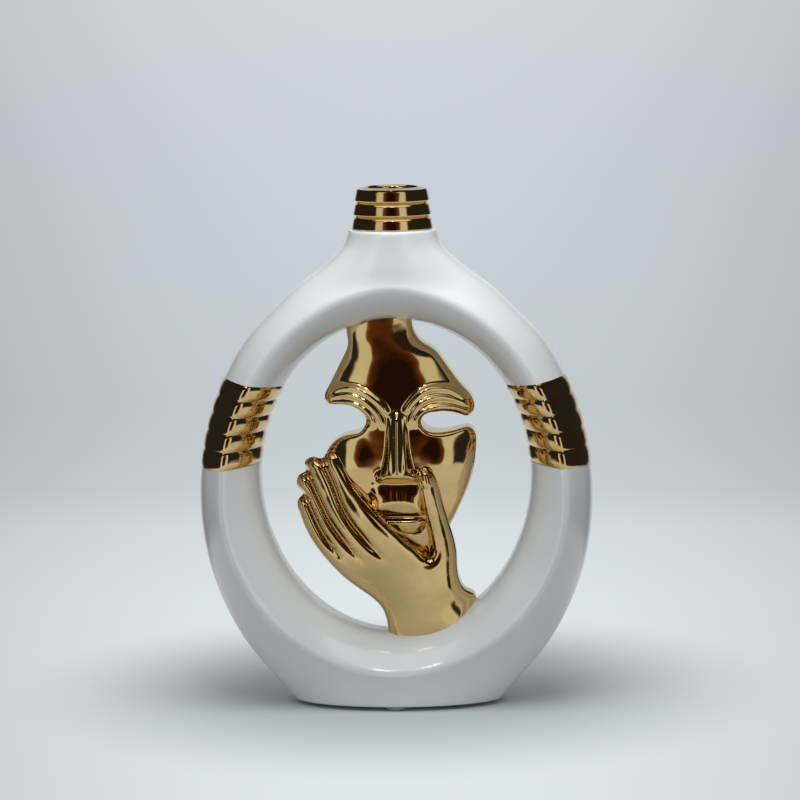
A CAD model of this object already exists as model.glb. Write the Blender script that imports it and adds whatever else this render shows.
# %% [markdown]
# # A ring vase in white glaze and gold lustre
# The real vase is one hollow body of fired clay. It was glazed white and fired, then gold lustre was
# brushed on the bands, the neck, the mask and the hand, and it was fired once more.
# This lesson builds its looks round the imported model, which says where each piece is and how large.
# It goes from helpers and finishes to the ring, the bands, the collar and the bumpers, then to the mask
# and the hand, and at last to the studio.

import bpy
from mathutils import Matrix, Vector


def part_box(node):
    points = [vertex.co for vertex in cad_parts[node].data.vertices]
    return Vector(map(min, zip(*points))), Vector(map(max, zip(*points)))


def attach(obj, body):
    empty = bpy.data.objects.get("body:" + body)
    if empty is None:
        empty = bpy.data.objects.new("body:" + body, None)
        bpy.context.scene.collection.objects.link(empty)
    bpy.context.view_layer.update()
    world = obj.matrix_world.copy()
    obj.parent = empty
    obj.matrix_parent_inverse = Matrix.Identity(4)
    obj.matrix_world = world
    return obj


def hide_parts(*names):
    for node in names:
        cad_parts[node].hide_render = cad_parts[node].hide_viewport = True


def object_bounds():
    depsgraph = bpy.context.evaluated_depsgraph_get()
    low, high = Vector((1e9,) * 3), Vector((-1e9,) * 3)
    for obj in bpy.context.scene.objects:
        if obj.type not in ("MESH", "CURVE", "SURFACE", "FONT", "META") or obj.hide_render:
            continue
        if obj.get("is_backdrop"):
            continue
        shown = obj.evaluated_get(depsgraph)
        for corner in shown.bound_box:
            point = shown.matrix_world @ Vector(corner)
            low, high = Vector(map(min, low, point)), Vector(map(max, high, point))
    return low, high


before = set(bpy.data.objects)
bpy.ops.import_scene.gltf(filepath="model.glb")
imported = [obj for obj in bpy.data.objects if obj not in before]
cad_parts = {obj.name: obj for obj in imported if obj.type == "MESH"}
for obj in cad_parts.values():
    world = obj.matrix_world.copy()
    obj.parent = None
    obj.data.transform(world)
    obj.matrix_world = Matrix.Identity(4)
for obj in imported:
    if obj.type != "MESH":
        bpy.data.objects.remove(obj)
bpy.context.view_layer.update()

# %% Bring in the tools
import math

import bmesh
import bpy
import numpy as np
from mathutils import Matrix, Quaternion, Vector
from mathutils.kdtree import KDTree

MM = 0.001
print("Blender", bpy.app.version_string)

# %% [markdown]
# ## Helpers for meshes
# Every piece is modelled in millimetres and turned to metres at the end, so its sizes read as on a
# drawing. A finished piece has its place in its mesh, and its object stays at the origin, because a
# pattern on Object coordinates would slide if the object were moved. Two kinds of form are made with
# them: grids that are bent into shape, and slabs that become one skin and are then shaped like clay.

# %% Turn a bmesh into a finished piece
SHARP_ANGLE = math.radians(50)


def finish_piece(bm, name, node, material, sharp_angle=SHARP_ANGLE):
    """Scale a piece to metres, point its faces outwards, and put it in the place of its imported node."""
    bmesh.ops.recalc_face_normals(bm, faces=bm.faces)
    bmesh.ops.scale(bm, vec=(MM, MM, MM), verts=bm.verts)
    mesh = bpy.data.meshes.new(name)
    bm.to_mesh(mesh)
    bm.free()
    mesh.shade_smooth()
    mesh.set_sharp_from_angle(angle=sharp_angle)
    mesh.materials.append(material)
    piece = bpy.data.objects.new(name, mesh)
    bpy.context.scene.collection.objects.link(piece)
    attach(piece, "root")
    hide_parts(node)
    print(name, len(mesh.polygons), "faces")
    return piece


# %% Remesh a rough form into one even skin
def remeshed(bm, voxel):
    """Turn overlapping closed forms into one skin of even faces. The size of a face is in millimetres."""
    rough = bpy.data.meshes.new("rough_form")
    bm.to_mesh(rough)
    bm.free()
    holder = bpy.data.objects.new("rough_form", rough)
    bpy.context.scene.collection.objects.link(holder)
    remesh = holder.modifiers.new("skin", "REMESH")
    remesh.mode = "VOXEL"
    remesh.voxel_size = voxel
    graph = bpy.context.evaluated_depsgraph_get()
    skin = bmesh.new()
    skin.from_mesh(bpy.data.meshes.new_from_object(holder.evaluated_get(graph)))
    bpy.data.objects.remove(holder)
    return skin


def soften(bm, rounds):
    """Smooth a skin a little at a time, as a wet sponge does to clay."""
    for _ in range(rounds):
        bmesh.ops.smooth_vert(
            bm, verts=bm.verts, factor=0.5, use_axis_x=True, use_axis_y=True, use_axis_z=True
        )


def places_of(bm):
    return np.array([vert.co for vert in bm.verts])


def move_to(bm, places):
    for vert, place in zip(bm.verts, places):
        vert.co = place


# %% Smooth curves through a few chosen points
def smooth_curve(at, values):
    """A natural cubic through the values, as a function of one place."""
    at, values = np.array(at, float), np.array(values, float)
    gap, count = np.diff(at), len(at)
    matrix, right = np.eye(count), np.zeros(count)
    for i in range(1, count - 1):
        matrix[i, i - 1:i + 2] = gap[i - 1], 2 * (gap[i - 1] + gap[i]), gap[i]
        right[i] = 6 * ((values[i + 1] - values[i]) / gap[i] - (values[i] - values[i - 1]) / gap[i - 1])
    bend = np.linalg.solve(matrix, right)

    def value(place):
        i = np.clip(np.searchsorted(at, place) - 1, 0, count - 2)
        before, after, width = place - at[i], at[i + 1] - place, gap[i]
        straight = (values[i] * after + values[i + 1] * before) / width
        lift = bend[i] * (after**3 / width - after * width)
        lift += bend[i + 1] * (before**3 / width - before * width)
        return straight + lift / 6

    return value


def curve_points(points, step):
    """Evenly spaced points on a smooth line through chosen points in the front view."""
    points = np.array(points, float)
    reach = np.concatenate([[0], np.cumsum(np.linalg.norm(np.diff(points, axis=0), axis=1))])
    at = np.linspace(0, reach[-1], max(2, int(reach[-1] / step)))
    return np.stack([smooth_curve(reach, column)(at) for column in points.T], axis=1)


# %% [markdown]
# ## Colours and materials
# Colours are written as they look on a screen, and one function turns them into the linear light that
# the renderer works in.

# %% Write a colour and add a shader node
def paint(hex_colour):
    """A colour such as #C9A765 as linear light."""
    parts = [int(hex_colour[i:i + 2], 16) / 255 for i in (1, 3, 5)]
    linear = [part / 12.92 if part <= 0.04045 else ((part + 0.055) / 1.055) ** 2.4 for part in parts]
    return (*linear, 1)


def add_node(tree, kind, inputs=None, **settings):
    """Add a node, set it, and give each input its number or the output that it is linked to."""
    node = tree.nodes.new(kind)
    for name, value in settings.items():
        setattr(node, name, value)
    for name, value in (inputs or {}).items():
        if isinstance(value, bpy.types.NodeSocket):
            tree.links.new(value, node.inputs[name])
        else:
            node.inputs[name].default_value = value
    return node


def new_material(name):
    """An empty material and its node tree."""
    material = bpy.data.materials.new(name)
    material.use_nodes = True
    material.node_tree.nodes.clear()
    return material, material.node_tree


def ramp_stops(ramp, stops):
    """Fill a colour ramp from pairs of a place and a colour."""
    elements = ramp.color_ramp.elements
    while len(elements) > 1:
        elements.remove(elements[-1])
    elements[0].position, elements[0].color = stops[0][0], paint(stops[0][1])
    for place, colour in stops[1:]:
        elements.new(place).color = paint(colour)


print("middle grey #808080 as linear light:", round(paint("#808080")[0], 3))

# %% [markdown]
# ### White glaze
# A white, tin-opacified glaze over slip-cast earthenware, dipped and fired glossy. Its surface has the
# faint waves of a poured liquid. It could be made with light that spreads under the surface, but tin
# makes this glaze opaque at such a thickness. So it is a plain white under a thin clear coat: one noise
# varies the tone where the glaze pooled, and a finer one bends the highlights a little.

# %% White glaze
BUMP_HEIGHT_MM = 2
GLAZE_WAVE_MM = 14
GLAZE_POOL_MM = 40


def white_glaze():
    material, tree = new_material("white_earthenware_glaze")
    place = add_node(tree, "ShaderNodeTexCoord").outputs["Object"]
    pool = add_node(tree, "ShaderNodeTexNoise", {
        "Vector": place, "Scale": 1 / (GLAZE_POOL_MM * MM), "Detail": 1,
    })
    tone = add_node(tree, "ShaderNodeValToRGB", {"Fac": pool.outputs["Fac"]})
    ramp_stops(tone, [(0.3, "#ECEDEC"), (0.7, "#F2F3F3")])
    wave = add_node(tree, "ShaderNodeTexNoise", {
        "Vector": place, "Scale": 1 / (GLAZE_WAVE_MM * MM), "Detail": 0,
    })
    bump = add_node(tree, "ShaderNodeBump", {
        "Height": wave.outputs["Fac"], "Strength": 0.06, "Distance": BUMP_HEIGHT_MM * MM,
    })
    shader = add_node(tree, "ShaderNodeBsdfPrincipled", {
        "Base Color": tone.outputs["Color"], "Roughness": 0.16, "IOR": 1.52,
        "Coat Weight": 0.5, "Coat Roughness": 0.05, "Normal": bump.outputs["Normal"],
    })
    add_node(tree, "ShaderNodeOutputMaterial", {"Surface": shader.outputs["BSDF"]})
    return material


glaze = white_glaze()
print("made", glaze.name)

# %% [markdown]
# ### Gold lustre
# A film of gold, fired at a low heat over the glossy glaze. It is a mirror as smooth as the glaze
# under it, so what it shows is the studio: dark walls, bright softboxes and the pale table. A brushed
# metal would be wrong here, because no brush mark outlives the firing. So it is a smooth metal whose
# tone is cloudy, where the film is thicker or thinner, and which has the slow waves of the glaze.

# %% Gold lustre
GOLD_WAVE_MM = 9
GOLD_CLOUD_MM = 22


def gold_lustre():
    material, tree = new_material("fired_gold_lustre")
    place = add_node(tree, "ShaderNodeTexCoord").outputs["Object"]
    cloud = add_node(tree, "ShaderNodeTexNoise", {
        "Vector": place, "Scale": 1 / (GOLD_CLOUD_MM * MM), "Detail": 2,
    })
    tone = add_node(tree, "ShaderNodeValToRGB", {"Fac": cloud.outputs["Fac"]})
    ramp_stops(tone, [(0.3, "#D4B176"), (0.7, "#DFBF88")])
    wave = add_node(tree, "ShaderNodeTexNoise", {
        "Vector": place, "Scale": 1 / (GOLD_WAVE_MM * MM), "Detail": 1,
    })
    bump = add_node(tree, "ShaderNodeBump", {
        "Height": wave.outputs["Fac"], "Strength": 0.12, "Distance": BUMP_HEIGHT_MM * MM,
    })
    shader = add_node(tree, "ShaderNodeBsdfPrincipled", {
        "Base Color": tone.outputs["Color"], "Metallic": 1, "Roughness": 0.09,
        "Normal": bump.outputs["Normal"],
    })
    add_node(tree, "ShaderNodeOutputMaterial", {"Surface": shader.outputs["BSDF"]})
    return material


gold = gold_lustre()
print("made", gold.name)

# %% [markdown]
# ### Clear bumper
# The stick-on feet are clear cast polyurethane, as on a picture frame. Polished glass would be too
# sharp for them, so the surface is a little rough and blurs what is behind it, and a faint grain keeps
# the tint from being one flat colour.

# %% Clear bumper
PAD_GRAIN_MM = 1.5


def clear_pad():
    material, tree = new_material("clear_polyurethane")
    place = add_node(tree, "ShaderNodeTexCoord").outputs["Object"]
    grain = add_node(tree, "ShaderNodeTexNoise", {"Vector": place, "Scale": 1 / (PAD_GRAIN_MM * MM)})
    tone = add_node(tree, "ShaderNodeValToRGB", {"Fac": grain.outputs["Fac"]})
    ramp_stops(tone, [(0.3, "#E4EAEC"), (0.7, "#F0F4F5")])
    shader = add_node(tree, "ShaderNodeBsdfPrincipled", {
        "Base Color": tone.outputs["Color"], "Roughness": 0.25, "IOR": 1.49, "Transmission Weight": 0.8,
    })
    add_node(tree, "ShaderNodeOutputMaterial", {"Surface": shader.outputs["BSDF"]})
    return material


bumper = clear_pad()
print("made", bumper.name)

# %% [markdown]
# ## The form of the ring
# Seen from the front, the ring is an egg with a flat foot and a neck, and its hole is a smaller egg.
# A crest runs round the hole on the front and on the back: outside it the clay falls off as an oval,
# and inside it a hollow flare leads in to the waist of the hole. Such a form could be sculpted, or cut
# with a boolean, but a formula for each face keeps the surface even and its highlights calm. The sizes
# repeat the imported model's.

# %% Sizes of the ring, in millimetres
foot_z, ankle_z, widest_z, shoulder_z, seat_z = 2.2, 27.3, 118.0, 228.0, 266.6
ring_width, foot_width, ankle_width, shoulder_width, neck_width = 220.0, 117.8, 160.4, 124.0, 48.8
crest_half, crest_low_z, crest_top_z = 96.0, 22.0, 234.4
waist_half, waist_low_z, waist_mid_z, waist_top_z = 75.5, 41.0, 130.0, 216.3
foot_half_depth, crest_depth_low, crest_depth_side, crest_depth_top = 33.0, 35.75, 35.0, 28.0
crest_radius, foot_edge_radius, neck_edge_radius = 3.5, 2.5, 2.2
bore_radius, well_floor_z = 14.0, 232.0
neck_flare_shares = [
    (0.0, 1.0), (0.26, 0.70), (0.43, 0.45), (0.60, 0.25), (0.75, 0.10), (0.88, 0.03), (1.0, 0.0),
]
body_station_shares = [0, 0.045, 0.095, 0.17, 0.26, 0.35, 0.44, 0.53, 0.62, 0.71, 0.79]
print("ring width", ring_width, "and height", seat_z - foot_z)


# %% The outline from the front and from the side
def outline_half(z):
    """Half the ring's width at a drawn height."""
    if z < ankle_z:
        return (foot_width + (ankle_width - foot_width) * (z - foot_z) / (ankle_z - foot_z)) / 2
    if z <= shoulder_z:
        width, end_z = (ankle_width, ankle_z) if z < widest_z else (shoulder_width, shoulder_z)
        rise = abs(end_z - widest_z) / math.sqrt(1 - (width / ring_width) ** 2)
        return ring_width / 2 * math.sqrt(1 - ((z - widest_z) / rise) ** 2)
    share = (z - shoulder_z) / (seat_z - shoulder_z)
    places, widths = zip(*neck_flare_shares)
    return (neck_width + (shoulder_width - neck_width) * np.interp(share, places, widths)) / 2


def crest_depth(z):
    """How far the crest, and the front above and below it, stands before the middle plane."""
    if z < crest_low_z:
        return np.interp(z, (foot_z, crest_low_z), (foot_half_depth, crest_depth_low))
    if z < widest_z:
        share = (widest_z - z) / (widest_z - crest_low_z)
        return crest_depth_side + (crest_depth_low - crest_depth_side) * share**2
    if z < crest_top_z:
        share = (z - widest_z) / (crest_top_z - widest_z)
        return crest_depth_side + (crest_depth_top - crest_depth_side) * share**2
    share = (seat_z - z) / (seat_z - crest_top_z)
    return neck_width / 2 + (crest_depth_top - neck_width / 2) * share**2


def egg(x, z, half, middle_z, low_z, top_z):
    """Below one inside an egg, and above one outside it."""
    reach = top_z - middle_z if z > middle_z else middle_z - low_z
    return (x / half) ** 2 + ((z - middle_z) / reach) ** 2


def crest_egg(x, z):
    return egg(x, z, crest_half, widest_z, crest_low_z, crest_top_z)


def waist_egg(x, z):
    return egg(x, z, waist_half, waist_mid_z, waist_low_z, waist_top_z)


def oval_half_depth(z):
    """Half the depth of the oval whose front passes through the crest."""
    return crest_depth(z) / math.sqrt(1 - max(0, 1 - crest_egg(0, z)) * (crest_half / outline_half(z)) ** 2)


stations = [foot_z + (seat_z - foot_z) * share for share in body_station_shares]
stations += [shoulder_z + (seat_z - shoulder_z) * share for share, _ in neck_flare_shares]
half_width = smooth_curve(stations, [outline_half(z) for z in stations])
half_depth = smooth_curve(stations, [oval_half_depth(z) for z in stations])
print("half width at the widest", round(float(half_width(widest_z)), 2))


def oval_y(x, z):
    """Where the outer face stands on the viewer's side."""
    return -half_depth(z) * math.sqrt(max(0, 1 - (x / half_width(z)) ** 2))


# %% [markdown]
# ## Spokes
# A quarter of the ring is a grid that is bent into shape. Each row of the grid is a spoke: a line that
# starts at the waist of the hole, climbs the flare, rounds the crest and runs over the outer face to
# the outline. A mirror then makes the back, and another the left side. The rows follow the crest and
# the edges, so each round edge gets faces of its own, and no bevel is needed afterwards.

# %% Follow a line, and round its corners
def run_length(run):
    return float(np.linalg.norm(np.diff(run, axis=0), axis=1).sum())


def along(run, distances):
    """Points at these distances from a line's start."""
    reach = np.concatenate([[0], np.cumsum(np.linalg.norm(np.diff(run, axis=0), axis=1))])
    return np.stack([np.interp(distances, reach, run[:, axis]) for axis in range(3)], axis=-1)


CORNER_STEPS = 6


def corner_leg(before, after, radius):
    """How far from a corner its rounding starts."""
    room = 0.45 * min(run_length(before), run_length(after))
    if room < 0.01:
        return 0.0
    back = Vector(along(before, run_length(before) - room) - before[-1])
    ahead = Vector(along(after, room) - after[0])
    return min(room, radius / math.tan(back.angle(ahead) / 2))


def joined(runs, radii, counts):
    """One even line through the runs, with a round at each corner between them."""
    legs = [corner_leg(a, b, radius) for a, b, radius in zip(runs, runs[1:], radii)]
    starts, ends = [0.0] + legs, legs + [0.0]
    points = []
    for number, (run, count) in enumerate(zip(runs, counts)):
        first = 0 if number == 0 else 1
        places = np.linspace(starts[number], run_length(run) - ends[number], count + 1)
        points.extend(along(run, places)[first:])
        if number < len(legs):
            corner, leave, arrive = run[-1], points[-1], along(runs[number + 1], legs[number])
            for step in range(1, CORNER_STEPS + 1):
                t = step / CORNER_STEPS
                points.append(leave * (1 - t) ** 2 + corner * 2 * t * (1 - t) + arrive * t**2)
    return points


# %% The runs of one spoke
DENSE_STEPS = 60


def leave_share(centre_z, end, shape):
    """How far along a spoke it leaves an egg-shaped outline, found by halving."""
    low, high = 0.0, 1.0
    for _ in range(40):
        middle = (low + high) / 2
        inside = shape(end[0] * middle, centre_z + (end[1] - centre_z) * middle) < 1
        low, high = (middle, high) if inside else (low, middle)
    return low


def flare_run(waist, crest):
    """The hollow flare: a round arc from the waist to the crest, in the plane of the spoke."""
    depth, size = float(crest_depth(crest[1])), float(np.linalg.norm(crest - waist))
    radius = (depth**2 + size**2) / (2 * size)
    points = []
    for step in range(DENSE_STEPS + 1):
        y = depth * step / DENSE_STEPS
        place = waist + (crest - waist) * (radius - math.sqrt(radius**2 - y**2)) / size
        points.append((place[0], -y, place[1]))
    return np.array(points)


def face_run(crest, end):
    """The outer face, from the crest to the outline."""
    points = []
    for step in range(DENSE_STEPS + 1):
        place = crest + (end - crest) * (1 - (1 - step / DENSE_STEPS) ** 2)
        points.append((place[0], oval_y(*place), place[1]))
    return np.array(points)


def spoke_runs(centre_z, end):
    centre, end = np.array((0.0, centre_z)), np.array(end, float)
    waist = centre + (end - centre) * leave_share(centre_z, end, waist_egg)
    crest = centre + (end - centre) * leave_share(centre_z, end, crest_egg)
    return [flare_run(waist, crest), face_run(crest, end)]


def straight(*points):
    return np.array(points, float)


# %% Bend a grid over the spokes, and mirror it
MERGE = 0.01


def bent_grid(rows):
    """A grid whose rows lie on these lines, all with the same number of points."""
    rows = np.array(rows)
    bm = bmesh.new()
    bmesh.ops.create_grid(bm, x_segments=rows.shape[0] - 1, y_segments=rows.shape[1] - 1, size=0.5)
    for vert in bm.verts:
        row = round((vert.co.x + 0.5) * (rows.shape[0] - 1))
        column = round((vert.co.y + 0.5) * (rows.shape[1] - 1))
        vert.co = rows[row, column]
    bmesh.ops.remove_doubles(bm, verts=bm.verts, dist=MERGE)
    return bm


def mirrored(bm, axes):
    """Mirror the form over the middle planes, merge the seams, and close what is still open."""
    for axis in axes:
        number = "XYZ".index(axis)
        flat = [face for face in bm.faces if all(abs(vert.co[number]) < MERGE for vert in face.verts)]
        bmesh.ops.delete(bm, geom=flat, context="FACES")
        for vert in bm.verts:
            if abs(vert.co[number]) < MERGE:
                vert.co[number] = 0
        everything = bm.verts[:] + bm.edges[:] + bm.faces[:]
        bmesh.ops.mirror(bm, geom=everything, matrix=Matrix.Identity(4), merge_dist=MERGE, axis=axis)
    bmesh.ops.remove_doubles(bm, verts=bm.verts, dist=MERGE)
    bmesh.ops.dissolve_degenerate(bm, edges=bm.edges, dist=MERGE)
    border = [edge for edge in bm.edges if edge.is_boundary]
    bmesh.ops.holes_fill(bm, edges=border, sides=0)
    loose = [vert for vert in bm.verts if not vert.link_faces]
    bmesh.ops.delete(bm, geom=loose, context="VERTS")
    return bm


# %% [markdown]
# ## The lines of the gold bands
# The border between glaze and gold follows the lowest and the highest rib of a band. The ribs fan out
# from the hole, so their lines are not quite level, and the spokes of the white pieces end along them.
# Two neighbours then share one border, and no gap shows between them.

# %% Lines of the bands
rib_count = 5
band_low_z, band_outer_height = 134.8, 52.8
band_inner_rise, band_inner_height = 2.2, 45.1
rib_bulge, rib_groove = 1.1, 0.5


def band_line(rib):
    """The height at which a rib's line starts from the middle of the ring, and its slope."""
    share = rib / rib_count
    inner_z = band_low_z + band_inner_rise + band_inner_height * share
    slope = (band_low_z + band_outer_height * share - inner_z) / (ring_width / 2 - waist_half)
    return inner_z - slope * waist_half, slope


def line_end(rib):
    """Where a rib's line reaches the outline."""
    centre_z, slope = band_line(rib)
    far = (ring_width, centre_z + slope * ring_width)
    share = leave_share(centre_z, far, lambda x, z: (x / half_width(z)) ** 2)
    return far[0] * share, centre_z + slope * far[0] * share


print("lowest rib ends at", [round(float(v), 1) for v in line_end(0)])

# %% [markdown]
# ## Lower ring
# The lower white piece stands on a flat oval foot with a soft edge. Its spokes end on the foot, on the
# outline and at last along the lowest rib of the band. A spoke with no flat foot under it folds that
# part of its row into a point, so that every row of the grid has as many points.

# %% Lower ring
FLARE_STEPS, FACE_STEPS, FLAT_STEPS = 16, 22, 5
SPOKE_GAP_MM = 2.4
FOOT_SPOKES = 16


def foot_spoke(angle):
    """A spoke that ends on the flat foot, with the foot's soft edge."""
    x, y = foot_width / 2 * math.cos(angle), -half_depth(foot_z) * math.sin(angle)
    runs = spoke_runs(band_line(0)[0], (x, foot_z))
    return runs + [straight((x, y, foot_z), (x, y / 2, foot_z), (x, 0, foot_z))]


def side_spoke(centre_z, z, folded_runs):
    """A spoke that ends on the outline, where the further runs of the other spokes fold into a point."""
    end = (float(half_width(z)), 0, z)
    return spoke_runs(centre_z, (end[0], z)) + [straight(end, end)] * folded_runs


def outline_heights(low_z, high_z):
    count = round((high_z - low_z) / SPOKE_GAP_MM)
    return np.linspace(low_z, high_z, count + 1)


lower_spokes = [foot_spoke(math.pi / 2 * (1 - step / FOOT_SPOKES)) for step in range(FOOT_SPOKES + 1)]
for z in outline_heights(foot_z, line_end(0)[1])[1:]:
    lower_spokes.append(side_spoke(band_line(0)[0], z, 1))
lower_rows = [
    joined(runs, (crest_radius, foot_edge_radius), (FLARE_STEPS, FACE_STEPS, FLAT_STEPS))
    for runs in lower_spokes
]
finish_piece(mirrored(bent_grid(lower_rows), "YX"), "lower_ring_glazed", "lower_ring", glaze)

# %% [markdown]
# ## Upper arch
# The upper white piece sweeps from the bands to the shoulder and the neck. Its last spokes go on over
# the flat seat of the collar and down the bore, so the mouth leads into a real well. The well has a
# floor, because nothing deeper shows through the narrow mouth.

# %% Upper arch
NECK_SPOKES = 20


def neck_spoke(angle):
    """A spoke that ends on the neck, and goes on over the seat and down the bore to its floor."""
    across, out = math.cos(angle), -math.sin(angle)
    runs = spoke_runs(band_line(rib_count)[0], (neck_width / 2 * across, seat_z))
    rim = (bore_radius * across, bore_radius * out)
    seat = straight(runs[-1][-1], (*rim, seat_z))
    bore = straight((*rim, seat_z), (*rim, well_floor_z), (0, 0, well_floor_z))
    return runs + [seat, bore]


upper_spokes = []
for z in outline_heights(line_end(rib_count)[1], seat_z)[:-1]:
    upper_spokes.append(side_spoke(band_line(rib_count)[0], z, 2))
upper_spokes += [neck_spoke(math.pi / 2 * step / NECK_SPOKES) for step in range(NECK_SPOKES + 1)]
upper_rows = [
    joined(runs, (crest_radius, neck_edge_radius, 0.5), (FLARE_STEPS, FACE_STEPS, FLAT_STEPS, FLAT_STEPS * 2))
    for runs in upper_spokes
]
finish_piece(mirrored(bent_grid(upper_rows), "YX"), "upper_arch_glazed", "upper_arch", glaze)

# %% [markdown]
# ## Gold bands
# Each band is a fan of five low ribs with flat tops and narrow grooves between them, carved in the
# mould before the clay was cast. They could be bump in the material, but their edges show against the
# backdrop, so they are in the mesh. The spokes follow the rib lines, and each point is then pushed out
# along its normal by how high the rib stands there.

# %% Gold bands
SPOKES_PER_RIB = 14
FLARE_RIB_SHARE, FACE_RIB_SHARE = 0.6, 0.4


def rib_height(rib):
    """A rib with a flat top between two narrow grooves."""
    place = rib % 1
    return -rib_groove + (rib_bulge + rib_groove) * (1 - abs(2 * place - 1) ** 3)


band_places = [step / SPOKES_PER_RIB for step in range(rib_count * SPOKES_PER_RIB + 1)]
band_rows = [
    joined(spoke_runs(band_line(rib)[0], line_end(rib)), (crest_radius,), (FLARE_STEPS, FACE_STEPS))
    for rib in band_places
]


def ribbed_band(side):
    """One band with its ribs, which are lower on the outer face. Side is 1 for right and -1 for left."""
    rows = np.array(band_rows)
    normals = np.cross(np.gradient(rows, axis=1), np.gradient(rows, axis=0))
    normals /= np.linalg.norm(normals, axis=2, keepdims=True)
    heights = np.array([rib_height(rib) for rib in band_places])
    steps = np.arange(rows.shape[1])
    past_crest = FLARE_STEPS + CORNER_STEPS + FACE_STEPS / 4
    strength = np.interp(steps, (FLARE_STEPS, past_crest), (FLARE_RIB_SHARE, FACE_RIB_SHARE))
    rows += normals * heights[:, None, None] * strength[None, :, None]
    rows[:, (0, -1), 1] = 0
    bm = mirrored(bent_grid(rows), "Y")
    bmesh.ops.scale(bm, vec=(side, 1, 1), verts=bm.verts)
    return bm


finish_piece(ribbed_band(1), "right_band_lustred", "right_band", gold)
finish_piece(ribbed_band(-1), "left_band_lustred", "left_band", gold)

# %% [markdown]
# ## Neck collar
# The collar was turned on the mould: three rings with a flat face and soft shoulders, narrower towards
# the mouth, and a rolled lip. A turned form has one profile all round, so the shortest way to make it
# is one line that spins round the axis.

# %% Neck collar
collar_ring_count, collar_height = 3, 23.4
collar_foot_width, collar_mouth_width = 43.6, 38.4
ring_face_stand, ring_valley_depth, ring_foot_edge, ring_top_slope = 0.75, 1.0, 0.5, 2.1
lip_radius, collar_wall_steps, collar_turns = 1.8, 6, 96
mouth_z = seat_z + collar_height


def collar_radius(z):
    share = (z - seat_z) / collar_height
    return (collar_foot_width + (collar_mouth_width - collar_foot_width) * share) / 2


def collar_profile():
    """The outside of the collar from the seat up, over the lip and down the bore.

    Two more points near each end of a ring keep its face flat between the soft shoulders.
    """
    points = []
    pitch = collar_height / collar_ring_count
    for ring in range(collar_ring_count):
        low, high = seat_z + pitch * ring, seat_z + pitch * (ring + 1)
        points += [
            (collar_radius(low) - ring_valley_depth, low),
            (collar_radius(low) + ring_face_stand - 0.2, low + 0.15),
            (collar_radius(low) + ring_face_stand, low + ring_foot_edge),
            (collar_radius(low) + ring_face_stand, low + ring_foot_edge + 0.4),
            (collar_radius(high) + ring_face_stand, high - ring_top_slope - 0.6),
            (collar_radius(high) + ring_face_stand, high - ring_top_slope - 0.2),
            (collar_radius(high) + ring_face_stand - 0.15, high - ring_top_slope),
        ]
    points[-1] = (collar_radius(mouth_z) + 0.2, mouth_z - 1.1)
    for step in range(1, collar_wall_steps + 1):
        angle = math.pi / 2 * step / collar_wall_steps
        points.append((
            bore_radius + lip_radius * (1 - math.sin(angle)), mouth_z - lip_radius * (1 - math.cos(angle))
        ))
    points += [(bore_radius, seat_z + collar_height / 2), (bore_radius, seat_z)]
    return points


def spun(profile, turns):
    """Spin a profile once round the axis."""
    bm = bmesh.new()
    verts = [bm.verts.new((radius, 0, z)) for radius, z in profile]
    edges = [bm.edges.new(pair) for pair in zip(verts, verts[1:] + verts[:1])]
    bmesh.ops.spin(
        bm, geom=verts + edges, cent=(0, 0, 0), axis=(0, 0, 1), angle=math.tau, steps=turns, use_merge=True
    )
    bmesh.ops.remove_doubles(bm, verts=bm.verts, dist=MERGE)
    return bm


finish_piece(spun(collar_profile(), collar_turns), "neck_collar_lustred", "neck_collar", gold)

# %% [markdown]
# ## Bumpers
# Three clear discs with a softened rim carry the vase, and only the front one shows in the photograph.
# Each is a short cylinder whose two rims are bevelled.

# %% Bumpers
pad_diameter, pad_edge_radius, pad_turns = 11.5, 0.8, 40
for node in ("foot_pad_front", "foot_pad_left", "foot_pad_right"):
    low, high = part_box(node)
    middle = (low + high) / 2 / MM
    thickness = (high - low).z / MM
    bm = bmesh.new()
    bmesh.ops.create_cone(
        bm, cap_ends=True, segments=pad_turns, radius1=pad_diameter / 2, radius2=pad_diameter / 2,
        depth=thickness,
    )
    rims = [edge for edge in bm.edges if abs(edge.verts[0].co.z - edge.verts[1].co.z) < MERGE]
    bmesh.ops.bevel(
        bm, geom=rims, offset=pad_edge_radius, affect="EDGES", segments=4, profile=0.5, material=-1
    )
    bmesh.ops.translate(bm, vec=middle, verts=bm.verts)
    finish_piece(bm, node + "_clear", node, bumper)

# %% [markdown]
# ## Mask
# The mask is a bowed slab with a cut-out outline. It could be a displaced plane, but its rim is round
# and shows from the side. So it starts as a flat sheet that is extruded, becomes one even skin, and is
# then shaped like clay: bowed, rounded at its rim, and pressed up into brows, nose, cheeks and lips.

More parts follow.
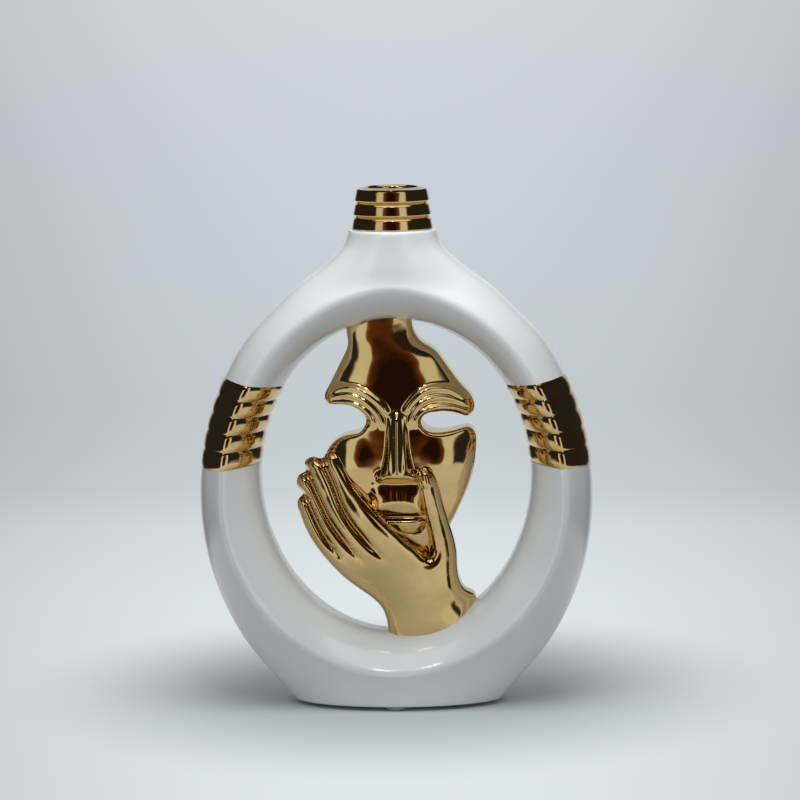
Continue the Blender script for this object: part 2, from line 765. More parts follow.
# %% Sizes and outline of the mask
mask_width, mask_height, mask_offset, mask_root = 84.5, 134.0, 3.2, 8.0
mask_front_depth, mask_back_depth, mask_lean = 20.0, 8.0, 10.0
mask_low_z = waist_top_z - mask_height
mask_mid_z = mask_low_z + mask_height / 2
mask_left_x = mask_offset - mask_width / 2
root_share = 1 + mask_root / mask_height
left_side_shares = [
    (0.14, root_share), (0.15, 0.95), (0.16, 0.905), (0.13, 0.85), (0.07, 0.775), (0.02, 0.715),
    (0.0, 0.68), (0.02, 0.656), (0.11, 0.652), (0.205, 0.64), (0.26, 0.615), (0.28, 0.588),
    (0.265, 0.56), (0.24, 0.542), (0.18, 0.53), (0.11, 0.517), (0.055, 0.49),
    (0.01, 0.45), (-0.02, 0.385), (0.01, 0.27), (0.11, 0.155), (0.29, 0.05), (0.50, 0.0),
]
right_side_shares = [
    (0.69, 0.04), (0.845, 0.165), (0.895, 0.23), (0.95, 0.31), (0.99, 0.41), (1.0, 0.48), (0.992, 0.53),
    (0.965, 0.551), (0.875, 0.547), (0.78, 0.538), (0.71, 0.54), (0.665, 0.555), (0.643, 0.582),
    (0.66, 0.607), (0.735, 0.622), (0.82, 0.622), (0.90, 0.608), (0.95, 0.60), (0.985, 0.62),
    (0.99, 0.65), (0.955, 0.695), (0.905, 0.73), (0.85, 0.775), (0.79, 0.83), (0.73, 0.877),
    (0.65, 0.91), (0.59, 0.965), (0.60, root_share),
]


def mask_place(across, up):
    return mask_left_x + mask_width * across, mask_low_z + mask_height * up


mask_outline = curve_points([mask_place(*shares) for shares in left_side_shares + right_side_shares], 0.5)
print("mask outline has", len(mask_outline), "points")


# %% Distances from chosen lines in the front view
def near_line(x, z, points, step=0.6):
    """How far each place is from a smooth line, and how far along the line its nearest point is."""
    line = curve_points(points, step)
    tree = KDTree(len(line))
    for number, (line_x, line_z) in enumerate(line):
        tree.insert((line_x, 0, line_z), number)
    tree.balance()
    found = [tree.find((px, 0, pz)) for px, pz in zip(x, z)]
    return np.array([hit[2] for hit in found]), np.array([hit[1] for hit in found]) / (len(line) - 1)


def mound(distance, width):
    """A soft mound that falls from one to nothing at its width."""
    share = np.clip(distance / width, 0, 1)
    return (1 - share**2) ** 2


def valley(distance, width):
    """A sharp valley between two round ridges: one at its line and nothing at its width."""
    share = 1 - np.clip(distance / width, 0, 1)
    return 1 - np.sqrt(1 - share**2)


def soft_oval(x, z, centre, half_sizes, tilt=0.0):
    """A soft mound over an oval in the front view, with a tilt in degrees."""
    turn = math.radians(tilt)
    across, up = x - centre[0], z - centre[1]
    along_x = across * math.cos(turn) + up * math.sin(turn)
    along_z = -across * math.sin(turn) + up * math.cos(turn)
    return mound(np.hypot(along_x / half_sizes[0], along_z / half_sizes[1]), 1)


def soft_step(value, low, high):
    share = np.clip((value - low) / (high - low), 0, 1)
    return share**2 * (3 - 2 * share)


# %% A slab of even faces in the shape of an outline
def slab_skin(outline, voxel):
    """A slab whose y runs from zero at the front to one at the back, as one even skin."""
    thickness = 20 * voxel
    bm = bmesh.new()
    sheet = bm.faces.new([bm.verts.new((x, 0, z)) for x, z in outline])
    slab = bmesh.ops.extrude_face_region(bm, geom=[sheet])
    back = [item for item in slab["geom"] if isinstance(item, bmesh.types.BMVert)]
    bmesh.ops.translate(bm, vec=(0, thickness, 0), verts=back)
    bmesh.ops.recalc_face_normals(bm, faces=bm.faces)
    bm = remeshed(bm, voxel)
    for vert in bm.verts:
        vert.co.y = min(max(vert.co.y / thickness, 0), 1)
    return bm


def press_slab(bm, inset, front, back, front_round, back_round):
    """Give a slab its front and its back, with a round rim at each."""
    places = places_of(bm)
    front_lip = front_round - np.sqrt(front_round**2 - np.clip(front_round - inset, 0, None) ** 2)
    back_lip = back_round - np.sqrt(back_round**2 - np.clip(back_round - inset, 0, None) ** 2)
    places[:, 1] = (front + front_lip) * (1 - places[:, 1]) + (back - back_lip) * places[:, 1]
    move_to(bm, places)


# %% Front of the mask
mask_left_line = [
    (82.3, 4), (88, -14), (95, -23), (103, -30), (118, -38), (134, -40.5), (146, -40), (158, -40),
    (170, -39.4), (178, -37.5), (186, -33.4), (196, -28), (204, -25.4), (210, -26), (224, -26),
]
mask_right_line = [
    (82.3, 4), (86, 14), (92, 23), (103, 32), (113, 37.6), (124, 42.2), (137.6, 45.9), (146.6, 46.4),
    (156, 46.2), (168, 45.5), (175, 43), (180, 39), (186, 34), (193.6, 29.5), (200, 24), (204, 17),
    (211.6, 11.5), (224, 11.5),
]
DOME_HALF_MM = 38.0
dome_fall = smooth_curve(
    [-0.26, 0, 0.26, 0.48, 0.58, 0.70, 0.80, 0.88, 1.0, 1.2],
    [0.25, 0, 0.25, 1.38, 2.37, 3.9, 5.5, 7.05, 10.5, 19.5],
)


def dome(x, z):
    """How far the mask falls back from its middle towards its sides."""
    left, right = (smooth_curve(*zip(*line))(z) for line in (mask_left_line, mask_right_line))
    half = np.maximum((right - left) / 2, 12)
    return dome_fall(np.clip(np.abs(x - (left + right) / 2) / half, 0, 1.15)) * half / DOME_HALF_MM


# %% Lines of the brows, the lids and the nose
brow_lines = [
    [(-36.5, 175.5), (-28.5, 179.2), (-22.5, 179.3), (-16.7, 177.4), (-10.7, 173.4), (-5.3, 168.4),
     (-1.8, 163)],
    [(43.5, 170.4), (36, 175.4), (30.3, 178.2), (24.3, 179), (18.4, 178.1), (12.5, 173.7),
     (8, 168.4), (5, 163)],
]
middle_brow_lines = [
    [(-37, 172.8), (-28.2, 175.6), (-22, 175), (-15.9, 172.2), (-10.6, 167.6), (-7, 162), (-5.4, 156)],
    [(43.5, 167.9), (35.6, 172), (29.8, 173.8), (23.4, 174), (17.5, 172.4), (12.4, 168.2),
     (9.6, 162), (8.4, 156)],
]
lid_lines = [
    [(-37, 170), (-28, 171.2), (-21.3, 170), (-15, 166.5), (-11.6, 162), (-11.2, 156.5)],
    [(43, 164.8), (35.3, 167.8), (29.4, 168.6), (22.6, 168.2), (16.7, 166), (13, 162), (12.2, 156.5)],
]
ridges_of_the_brow = [(brow_lines, 2.4, 3.0), (middle_brow_lines, 2.3, 2.5), (lid_lines, 2.2, 2.5)]
nose_middle_x, nose_tip_z, nose_top_z = 2.0, 127.0, 166.0
flutes_of_the_nose = [(0, 0.8, 1.5), (-2.7, -0.7, 1.1), (2.7, -0.7, 1.1), (-5, 0.5, 1.2), (5, 0.5, 1.2)]
print("ridges on each brow:", len(ridges_of_the_brow), "and flutes on the nose:", len(flutes_of_the_nose))


# %% Relief of the features
LIP_HALF_MM, UPPER_LIP_BEND_MM, LOWER_LIP_BEND_MM = 12.5, 5.5, 6.0
# Each pair is a height on the mask and how far the lips and the groove above them stand out there.
lip_profile = [
    (93, 0), (95, 0.9), (97, 1.6), (103.9, 3.0), (104.8, 3.0), (106.2, -0.5), (107.2, -0.5),
    (109.4, 1.2), (115.0, 3.0), (116.2, 3.0), (124.6, 1.2), (126.4, 0),
]
NOSE_HALF_MM, NOSE_FLARE_MM, NOSE_ROOT_MM, NOSE_RISE_MM = 5.0, 5.6, 2.2, 6.6
# Nostrils and cheeks: how far aside of the nose, at which height, half sizes, and how far they stand out.
side_mounds = [(9.8, 130, (3.6, 5.0), 2.6), (28, 136, (17, 20), 2.4)]
STRIPE_HEIGHT_MM, STRIPE_HALF_MM, CHIN_HEIGHT_MM = 0.5, 1.1, 2.0


def lip_relief(x, z):
    """Two lips that lean back as they go down, under a lip groove that leans forward."""
    across = (x - nose_middle_x) / LIP_HALF_MM
    bent_z = z + UPPER_LIP_BEND_MM * across**4 * soft_step(z, 107, 111) * soft_step(-z, -121, -116)
    bent_z -= LOWER_LIP_BEND_MM * across**2 * soft_step(-z, -105, -99)
    return np.interp(bent_z, *zip(*lip_profile)) * soft_step(-np.abs(across), -1.35, -0.85)


def mask_relief(x, z):
    """How far the features stand in front of the panel, in millimetres."""
    ridges = np.zeros(len(x))
    for lines, height, width in ridges_of_the_brow:
        for line in lines:
            distance, along_share = near_line(x, z, line)
            ridges = np.maximum(ridges, height * mound(distance, width) * soft_step(-along_share, -1, -0.86))
    down = np.clip((nose_top_z - z) / (nose_top_z - nose_tip_z), 0, 1)
    half = NOSE_HALF_MM + NOSE_FLARE_MM * down**2.4
    across = np.clip(1 - ((x - nose_middle_x) / half) ** 2, 0, 1)
    ends = soft_step(z, nose_tip_z - 1.8, nose_tip_z + 4.5) * soft_step(-z, -nose_top_z - 3, -nose_top_z + 5)
    nose = (NOSE_ROOT_MM + NOSE_RISE_MM * down) * across**0.7
    for offset, height, width in flutes_of_the_nose:
        nose += height * mound(np.abs(x - nose_middle_x - offset), width) * soft_step(z, 131, 136)
    relief = np.maximum(ridges, nose * ends)
    for side in (-1, 1):
        for aside, middle_z, half_sizes, height in side_mounds:
            relief += height * soft_oval(x, z, (nose_middle_x + side * aside, middle_z), half_sizes)
    relief += lip_relief(x, z)
    lip_groove = soft_oval(x, z, (2.2, 120.4), (12, 5))
    for stripe_x in (-1.0, 2.2, 5.4):
        stripe = mound(np.abs(x - stripe_x), STRIPE_HALF_MM)
        relief += STRIPE_HEIGHT_MM * stripe * lip_groove
    chin = soft_oval(x, z, (3, 89), (18, 7))
    return relief + CHIN_HEIGHT_MM * chin


print("the nose stands out by up to", round(NOSE_ROOT_MM + NOSE_RISE_MM, 1), "mm, and more on its flutes")

# %% Shape the mask
MASK_VOXEL = 0.56
EYE_RIM_MM, MASK_BACK_ROUND_MM = 2.6, 2.5


def shaped_mask():
    bm = slab_skin(mask_outline, MASK_VOXEL)
    places = places_of(bm)
    x, z = places[:, 0], places[:, 2]
    inset = near_line(x, z, [mask_place(*shares) for shares in left_side_shares + right_side_shares], 0.4)[0]
    lean = (z - mask_mid_z) / (mask_height / 2)
    front = mask_lean * lean**2 - mask_front_depth + dome(x, z) - mask_relief(x, z) * soft_step(inset, -3, 4)
    front = np.minimum(front, mask_back_depth - 2 * MASK_BACK_ROUND_MM)
    press_slab(bm, inset, front, mask_back_depth, EYE_RIM_MM, MASK_BACK_ROUND_MM)
    soften(bm, 5)
    return bm


finish_piece(shaped_mask(), "face_mask_lustred", "face_mask", gold, math.radians(180))

# %% [markdown]
# ## Hand
# The hand is pressed from a slab like the mask: a wrist that comes out of the ring, a broad palm, four
# fingers side by side with sharp valleys between them, and a thumb. Fingers that are made one by one
# and joined meet in round hollows, and these meet in sharp lines, so they are one surface with valleys
# pressed in. A soft surface through a few chosen places says how far its front stands before the
# middle of the vase.

# %% Outline and front of the hand
finger_side = [
    (-3, 30), (-5, 40), (-6.2, 47.5), (-9, 54.5), (-17, 62), (-29.6, 71.5), (-38.4, 80.4), (-46, 89.8),
    (-51.2, 99), (-54.2, 107.5), (-55.4, 112), (-54.4, 115.8), (-51.8, 118.4), (-54.2, 121.5),
    (-55.4, 126), (-53.4, 129.8), (-49.8, 131.6), (-50.8, 135.6), (-48.6, 139), (-44.4, 139.8),
    (-40.4, 139.0), (-38.4, 142.2), (-34.6, 143.4), (-30.9, 140.6), (-23.4, 127.6), (-14.3, 115.8),
    (-5.6, 106.4), (2, 99.4),
]
pocket_side = [(9, 93), (15, 87.6), (19.2, 84.4), (20.6, 87.4), (20.4, 92), (19.4, 98)]
thumb_side = [
    (17.6, 105.5), (16, 114), (14.6, 122), (13.6, 129.5), (14.2, 133.6), (16.8, 135.8), (20.2, 134.6),
    (23, 130), (24.8, 124.5), (26.6, 116), (29, 106.5), (32, 96), (33.8, 86), (34.2, 76), (35.6, 69),
    (38.6, 64), (43.4, 60.6), (44.2, 56), (41, 46), (39, 38), (37, 30),
]
hand_outline = finger_side + pocket_side + thumb_side
webbed_outline = finger_side + [(8, 97.4), (13.6, 97.4)] + thumb_side
hand_front_places = [
    (17, 34, -15), (17, 46, -16.5), (-4, 48, -12), (36, 48, -13.5), (42, 58, -8), (14, 62, -18.5),
    (-12, 64, -14), (30, 66, -16.5), (8, 78, -21), (-14, 80, -21), (-30, 80, -15), (-44, 92, -11),
    (26, 90, -19), (-8, 98, -26), (-24, 101, -22), (-37, 107, -16), (-50, 109, -10), (-16, 113, -26),
    (-29, 121, -20.5), (-42, 123, -14.5), (-52, 121, -10), (-33, 139, -19.5), (-46, 134, -13.5),
    (22, 106, -22), (19, 121, -25.5), (18, 132, -26),
]
groove_lines = [
    [(-41, 141), (-38.8, 135), (-34.7, 126.2), (-30.8, 116), (-25.9, 106.7), (-19.6, 98.4),
     (-12, 90), (-2, 80)],
    [(-50.6, 133), (-48.2, 128), (-43.5, 118.4), (-37.2, 105.4), (-27.1, 91.8), (-15, 79)],
    [(-54, 119), (-51, 116.6), (-48.2, 112), (-41, 97), (-28, 81)],
]


def within(x, z, outline):
    """Which places lie inside a closed outline, counted by how often it passes to their right."""
    crossed = np.zeros(len(x), bool)
    for (x0, z0), (x1, z1) in zip(outline, np.roll(outline, -1, axis=0)):
        if z0 != z1:
            passes = ((z0 > z) != (z1 > z)) & (x < x0 + (x1 - x0) * (z - z0) / (z1 - z0))
            crossed ^= passes
    return crossed


# At zero the sheet would go through every place, and a larger number lets it pass by and run smoother.
SHEET_EASE = 20


def soft_surface(places):
    """A thin sheet bent close to chosen places in the front view, as a function of x and z."""
    points = np.array(places, float)

    def bend(distance):
        return distance**2 * np.log(np.maximum(distance, 1e-6))

    count = len(points)
    gaps = np.hypot(points[:, None, 0] - points[None, :, 0], points[:, None, 1] - points[None, :, 1])
    flat = np.column_stack([np.ones(count), points[:, :2]])
    system = np.block([[bend(gaps) + np.eye(count) * SHEET_EASE, flat], [flat.T, np.zeros((3, 3))]])
    weights = np.linalg.solve(system, np.concatenate([points[:, 2], np.zeros(3)]))

    def height(x, z):
        away = np.hypot(x[:, None] - points[None, :, 0], z[:, None] - points[None, :, 1])
        return bend(away) @ weights[:count] + weights[count] + weights[count + 1] * x + weights[count + 2] * z

    return height


print("the hand's outline has", len(hand_outline), "chosen points, and its front", len(hand_front_places))

# %% Shape the hand
HAND_VOXEL = 0.7
FINGER_HALF_MM, VALLEY_DEPTH_MM = 4.6, 7.4
wrist_thickness, wrist_top_z, finger_thickness, finger_low_z = 21.0, 62, 14.0, 105
pocket_low_z, pocket_middle_x, pocket_half_mm = 80, 12, 12
POCKET_SLOPE, POCKET_DEPTH_SHARE = 3.0, 0.36
nail_place, nail_half_sizes, nail_tilt, nail_height = (17.8, 129), (4.0, 5.6), 8, 1.1
# A rim is as round as its size says, and less where the hand is thin.
front_round_mm, front_round_share, back_round_mm, back_round_share = 6.4, 0.46, 6.0, 0.42


def shaped_hand():
    bm = slab_skin(curve_points(webbed_outline, 0.6), HAND_VOXEL)
    places = places_of(bm)
    x, z = places[:, 0], places[:, 2]
    inset = near_line(x, z, hand_outline, 0.4)[0]
    # The pocket is the web of clay between the thumb and the first finger, outside the hand's own line.
    pocket = ~within(x, z, curve_points(hand_outline, 1.0))
    pocket &= (z > pocket_low_z) & (np.abs(x - pocket_middle_x) < pocket_half_mm)
    depth_in_pocket = np.where(pocket, inset, 0)
    inset[pocket] = 0
    front = soft_surface(hand_front_places)(x, z)
    taper = soft_step(z, wrist_top_z, finger_low_z)
    thickness = wrist_thickness + (finger_thickness - wrist_thickness) * taper
    back = front + thickness
    for line in groove_lines:
        distance, along_share = near_line(x, z, line)
        fade = 1 - soft_step(along_share, 0.6, 1.0)
        front += VALLEY_DEPTH_MM * valley(distance, FINGER_HALF_MM) * fade
    thumb_nail = np.minimum(1, 3 * soft_oval(x, z, nail_place, nail_half_sizes, nail_tilt))
    front -= nail_height * thumb_nail
    front += np.minimum(depth_in_pocket * POCKET_SLOPE, thickness * POCKET_DEPTH_SHARE)
    front_round = np.minimum(front_round_mm, thickness * front_round_share)
    back_round = np.minimum(back_round_mm, thickness * back_round_share)
    press_slab(bm, inset, front, back, front_round, back_round)
    soften(bm, 3)
    return bm


finish_piece(shaped_hand(), "hand_lustred", "hand", gold, math.radians(180))

# %% [markdown]
# ## Table, backdrop and light
# The photograph was taken in a light tent: a pale table that runs into a slightly darker backdrop, a
# large soft light overhead, and gold that mirrors the dark room between the softboxes. A curved sheet
# could be both table and backdrop. Here the table is a disc and the world is the backdrop, so the place
# where they meet can be tuned by tone alone, and the vase keeps its shadow on the paper.

# %% The backdrop's glow
CENTRE_GLOW, GLOW_MIDDLE, GLOW_HALF = 0.22, -0.0524, 0.115
# On the table the glow spreads as a fan from this point, which is where the photograph's camera stands,
# so paper and backdrop agree in its view. The point stays there when another camera looks.
GLOW_FAN_X_MM, GLOW_FAN_Y_MM = 107.5, -1997.3


def centre_glow(tree, across):
    """The backdrop is brightest behind the vase. Across is how far a way leads aside, as a slope."""
    apart = add_node(tree, "ShaderNodeMath", {0: across, 1: -GLOW_MIDDLE}, operation="ADD")
    share = add_node(tree, "ShaderNodeMath", {0: apart.outputs[0], 1: GLOW_HALF}, operation="DIVIDE")
    square = add_node(tree, "ShaderNodeMath", {0: share.outputs[0], 1: 2.0}, operation="POWER")
    glow = add_node(tree, "ShaderNodeMapRange", {
        "Value": square.outputs[0], "From Min": 0, "From Max": 1, "To Min": 1 + CENTRE_GLOW, "To Max": 1,
    })
    return glow.outputs["Result"]


print("the glow lifts the backdrop by", CENTRE_GLOW)

# %% Table
TABLE_RADIUS_MM = 1300
TABLE_FADE_MM, TABLE_MIDDLE_Y_MM = (80, 240), 30
TABLE_TONE_MM = (-200, 1300)
TABLE_COLOUR = "#D3DADC"
table_tones = [
    (0.0, "#CCD4D6"), (0.14, "#CED6D8"), (0.34, "#CCD4D7"), (0.53, "#C4CCCF"), (0.65, "#B9C1C4"),
    (0.80, "#B5BDC0"), (1.0, "#B3BBBF"),
]


def table_material():
    """Pale paper that fades with the distance from the vase.

    What the camera sees there is the backdrop's colour, and for all other rays nothing is there.
    """
    material, tree = new_material("pale_paper")
    place = add_node(tree, "ShaderNodeTexCoord").outputs["Object"]
    split = add_node(tree, "ShaderNodeSeparateXYZ", {"Vector": place})
    distance = add_node(tree, "ShaderNodeVectorMath", {
        0: place, 1: (0, TABLE_MIDDLE_Y_MM * MM, 0),
    }, operation="DISTANCE")
    fade = add_node(tree, "ShaderNodeMapRange", {
        "Value": distance.outputs["Value"],
        "From Min": TABLE_FADE_MM[0] * MM, "From Max": TABLE_FADE_MM[1] * MM,
    }, interpolation_type="SMOOTHSTEP")
    path = add_node(tree, "ShaderNodeLightPath")
    paper = add_node(tree, "ShaderNodeBsdfDiffuse", {"Color": paint(TABLE_COLOUR)})
    back = add_node(tree, "ShaderNodeMapRange", {
        "Value": split.outputs["Y"], "From Min": TABLE_TONE_MM[0] * MM, "From Max": TABLE_TONE_MM[1] * MM,
    })
    tone = add_node(tree, "ShaderNodeValToRGB", {"Fac": back.outputs["Result"]})
    ramp_stops(tone, table_tones)
    aside = add_node(tree, "ShaderNodeMath", {
        0: split.outputs["X"], 1: GLOW_FAN_X_MM * MM,
    }, operation="SUBTRACT")
    ahead = add_node(tree, "ShaderNodeMath", {
        0: split.outputs["Y"], 1: -GLOW_FAN_Y_MM * MM,
    }, operation="ADD")
    across = add_node(tree, "ShaderNodeMath", {0: aside.outputs[0], 1: ahead.outputs[0]}, operation="DIVIDE")
    strength = centre_glow(tree, across.outputs[0])
    glow = add_node(tree, "ShaderNodeEmission", {"Color": tone.outputs["Color"], "Strength": strength})
    clear = add_node(tree, "ShaderNodeBsdfTransparent")
    far = add_node(tree, "ShaderNodeMixShader", {
        0: path.outputs["Is Camera Ray"], 1: clear.outputs[0], 2: glow.outputs[0],
    })
    mix = add_node(tree, "ShaderNodeMixShader", {
        0: fade.outputs["Result"], 1: paper.outputs[0], 2: far.outputs[0],
    })
    add_node(tree, "ShaderNodeOutputMaterial", {"Surface": mix.outputs[0]})
    return material


bm = bmesh.new()
bmesh.ops.create_circle(bm, cap_ends=True, segments=128, radius=TABLE_RADIUS_MM * MM)
table_mesh = bpy.data.meshes.new("table")
bm.to_mesh(table_mesh)
bm.free()
table_mesh.materials.append(table_material())
table = bpy.data.objects.new("table", table_mesh)
bpy.context.scene.collection.objects.link(table)
table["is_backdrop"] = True
print("table radius in mm:", TABLE_RADIUS_MM)

# %% [markdown]
# ### The room that the gold mirrors
# In the photograph the gold shows what stood round it: bright softboxes in front, dark walls between
# them, a brown nook round the camera and the pale paper below. Cards and walls could be built for that,
# but they would also shade the vase. So colour ramps over the direction draw the room, and it is seen
# only in a mirror and through the clear bumpers.

# %% The room that the gold mirrors
# A height here is the upward part of a direction: 0 is level, and 1 is straight up.
CEILING_FADE, FLOOR_FADE = (0.42, 0.48), (-0.24, -0.31)
CAMERA_NOOK = (0.0, 0.10, 0.45, 0.44)
wall_stops = [
    (0.0, "#DEEAE6"), (0.245, "#DEEAE6"), (0.27, "#2A2A2D"), (0.82, "#2A2A2D"), (0.88, "#C8D0D4"),
    (1.0, "#C8D0D4"),
]
nook_stops = [(0.0, "#22130C"), (0.45, "#22130C"), (0.75, "#5A3418"), (0.92, "#7A4C22")]
ceiling_stops = [(0.6, "#2A2420"), (0.80, "#2A2420"), (0.86, "#FFFFFF"), (1.0, "#FFFFFF")]


def wall_colour(tree, split, front):
    """The walls by how far a way turns from the front: bright softboxes, dark sides, the pale backdrop."""
    turn = add_node(tree, "ShaderNodeMath", {
        0: split.outputs["X"], 1: front.outputs[0],
    }, operation="ARCTAN2")
    side = add_node(tree, "ShaderNodeMath", {0: turn.outputs[0]}, operation="ABSOLUTE")
    share = add_node(tree, "ShaderNodeMath", {0: side.outputs[0], 1: math.pi}, operation="DIVIDE")
    walls = add_node(tree, "ShaderNodeValToRGB", {"Fac": share.outputs[0]})
    ramp_stops(walls, wall_stops)
    return walls.outputs["Color"]


def nook_colour(tree, way, front):
    """The brown nook where the camera stands, and how much of it a way meets."""
    nook_x, nook_z, half_x, half_z = CAMERA_NOOK
    from_nook = add_node(tree, "ShaderNodeVectorMath", {
        0: way, 1: (nook_x, 0, nook_z),
    }, operation="SUBTRACT")
    scaled = add_node(tree, "ShaderNodeVectorMath", {
        0: from_nook.outputs[0], 1: (1 / half_x, 0, 1 / half_z),
    }, operation="MULTIPLY")
    reach = add_node(tree, "ShaderNodeVectorMath", {0: scaled.outputs[0]}, operation="LENGTH")
    nook = add_node(tree, "ShaderNodeValToRGB", {"Fac": reach.outputs["Value"]})
    ramp_stops(nook, nook_stops)
    edge = add_node(tree, "ShaderNodeMapRange", {
        "Value": reach.outputs["Value"], "From Min": nook_stops[-1][0], "From Max": 1.0,
    })
    inside = add_node(tree, "ShaderNodeMath", {0: 1.0, 1: edge.outputs["Result"]}, operation="SUBTRACT")
    ahead = add_node(tree, "ShaderNodeMath", {0: front.outputs[0], 1: 0.0}, operation="GREATER_THAN")
    share = add_node(tree, "ShaderNodeMath", {
        0: inside.outputs[0], 1: ahead.outputs[0],
    }, operation="MULTIPLY")
    return nook.outputs["Color"], share.outputs[0]


def mirrored_room(tree, way, split):
    """What a mirror shows: walls with the camera's nook, the ceiling above and the pale floor below."""
    front = add_node(tree, "ShaderNodeMath", {0: split.outputs["Y"], 1: -1.0}, operation="MULTIPLY")
    nook, in_nook = nook_colour(tree, way, front)
    wall = add_node(tree, "ShaderNodeMixRGB", {
        "Fac": in_nook, "Color1": wall_colour(tree, split, front), "Color2": nook,
    })
    above = add_node(tree, "ShaderNodeMapRange", {
        "Value": split.outputs["Z"], "From Min": CEILING_FADE[0], "From Max": CEILING_FADE[1],
    })
    ceiling = add_node(tree, "ShaderNodeValToRGB", {"Fac": split.outputs["Z"]})
    ramp_stops(ceiling, ceiling_stops)
    room = add_node(tree, "ShaderNodeMixRGB", {
        "Fac": above.outputs["Result"], "Color1": wall.outputs[0], "Color2": ceiling.outputs["Color"],
    })
    below = add_node(tree, "ShaderNodeMapRange", {
        "Value": split.outputs["Z"], "From Min": FLOOR_FADE[0], "From Max": FLOOR_FADE[1],
    })
    floor = add_node(tree, "ShaderNodeMixRGB", {
        "Fac": below.outputs["Result"], "Color1": room.outputs[0], "Color2": paint(TABLE_COLOUR),
    })
    return add_node(tree, "ShaderNodeBackground", {"Color": floor.outputs[0], "Strength": 1})


print("ceiling from height", CEILING_FADE, "and floor from height", FLOOR_FADE)

# %% The world's light
SIDE_AMBIENT, TOP_AMBIENT = 0.36, 0.37
BACKDROP_FOOT = -0.135
backdrop_stops = [(0.05, "#B3BBBF"), (0.3, "#B6BEC4"), (0.6, "#BAC1C8"), (0.9, "#BFC6CC")]


def soft_ambient(tree, split):
    """Even light from all round, which fills the shades of the glaze."""
    level = add_node(tree, "ShaderNodeMapRange", {
        "Value": split.outputs["Z"], "From Min": 0, "From Max": 1,
        "To Min": SIDE_AMBIENT, "To Max": TOP_AMBIENT,
    })
    return add_node(tree, "ShaderNodeBackground", {
        "Color": paint("#F8FAFC"), "Strength": level.outputs["Result"],
    })


def pale_backdrop(tree, split):
    """The paper behind the vase, a little lighter towards the top."""
    rise = add_node(tree, "ShaderNodeMapRange", {
        "Value": split.outputs["Z"], "From Min": BACKDROP_FOOT, "From Max": 0.0,
    })
    screen = add_node(tree, "ShaderNodeValToRGB", {"Fac": rise.outputs["Result"]})
    ramp_stops(screen, backdrop_stops)
    across = add_node(tree, "ShaderNodeMath", {
        0: split.outputs["X"], 1: split.outputs["Y"],
    }, operation="DIVIDE")
    return add_node(tree, "ShaderNodeBackground", {
        "Color": screen.outputs["Color"], "Strength": centre_glow(tree, across.outputs[0]),
    })


def studio_world():
    """What a ray meets depends on its kind: the backdrop, soft light from all round, or the mirrored room."""
    world = bpy.data.worlds.new("light_tent")
    bpy.context.scene.world = world
    world.use_nodes = True
    tree = world.node_tree
    tree.nodes.clear()
    way = add_node(tree, "ShaderNodeTexCoord").outputs["Generated"]
    split = add_node(tree, "ShaderNodeSeparateXYZ", {"Vector": way})
    mirror, ambient = mirrored_room(tree, way, split), soft_ambient(tree, split)
    path = add_node(tree, "ShaderNodeLightPath")
    seen = add_node(tree, "ShaderNodeMath", {
        0: path.outputs["Is Glossy Ray"], 1: path.outputs["Is Transmission Ray"],
    }, operation="MAXIMUM")
    lit = add_node(tree, "ShaderNodeMixShader", {
        0: seen.outputs[0], 1: ambient.outputs[0], 2: mirror.outputs[0],
    })
    shown = add_node(tree, "ShaderNodeMixShader", {
        0: path.outputs["Is Camera Ray"], 1: lit.outputs[0], 2: pale_backdrop(tree, split).outputs[0],
    })
    add_node(tree, "ShaderNodeOutputWorld", {"Surface": shown.outputs[0]})


studio_world()
print("ambient light from", SIDE_AMBIENT, "at the side to", TOP_AMBIENT, "at the top")

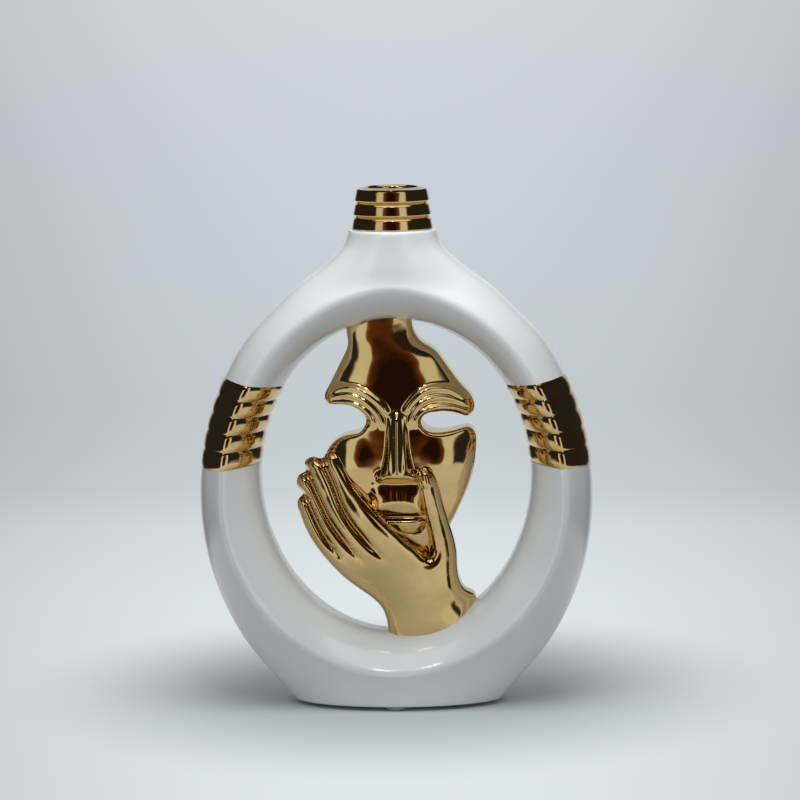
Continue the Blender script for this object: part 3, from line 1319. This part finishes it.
# %% [markdown]
# ### Lamps
# One large softbox hangs over the vase and gives the soft shadow on the table. Two small flashes high
# in front are there for the highlights that they leave on the crest of the foot, and add little light.

# %% Lamps
def softbox(name, place_mm, aim_mm, size_mm, watts):
    """A square soft lamp that looks at a point."""
    lamp = bpy.data.lights.new(name, "AREA")
    lamp.shape, lamp.size, lamp.energy = "SQUARE", size_mm * MM, watts
    holder = bpy.data.objects.new(name, lamp)
    place, aim = Vector(place_mm) * MM, Vector(aim_mm) * MM
    holder.location = place
    holder.rotation_mode = "QUATERNION"
    holder.rotation_quaternion = (aim - place).to_track_quat("-Z", "Y")
    bpy.context.scene.collection.objects.link(holder)
    return holder


key_light = softbox(
    "overhead_softbox", place_mm=(30, -130, 530), aim_mm=(15, -15, 180), size_mm=360, watts=1.12
)
key_light.data.color = paint("#F2FAFC")[:3]
# In a mirror, the white ceiling of the room stands in for this lamp, with a softer edge.
key_light.visible_glossy = False
softbox("left_flash", place_mm=(-331, -700, 1100), aim_mm=(0, 0, 120), size_mm=130, watts=0.45)
softbox("right_flash", place_mm=(24, -700, 1100), aim_mm=(0, 0, 120), size_mm=130, watts=0.5)
print("overhead softbox stands at", key_light.location)

# %% [markdown]
# ## Camera
# The camera stands two metres in front of the vase, a little to the right and above its middle, which
# is the photograph's viewing angle. A long lens keeps the sides of the ring from bulging.

# %% Camera
camera_place_mm, camera_way = (107.54, -1997.26, 430.0), (-0.05190, 0.99033, -0.12865)
camera_roll, camera_lens_mm = -0.0137, 162.46
camera_data = bpy.data.cameras.new("photo_camera")
camera_data.lens, camera_data.sensor_width = camera_lens_mm, 36
camera_data.clip_start, camera_data.clip_end = 0.1, 100
camera = bpy.data.objects.new("photo_camera", camera_data)
camera.location = Vector(camera_place_mm) * MM
camera.rotation_mode = "QUATERNION"
camera.rotation_quaternion = Vector(camera_way).to_track_quat("-Z", "Y") @ Quaternion((0, 0, 1), camera_roll)
bpy.context.scene.collection.objects.link(camera)
bpy.context.scene.camera = camera
bpy.context.scene.view_settings.view_transform = "Standard"
print("camera stands at", camera.location)

# %% Write both boxes and finish
low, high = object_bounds()
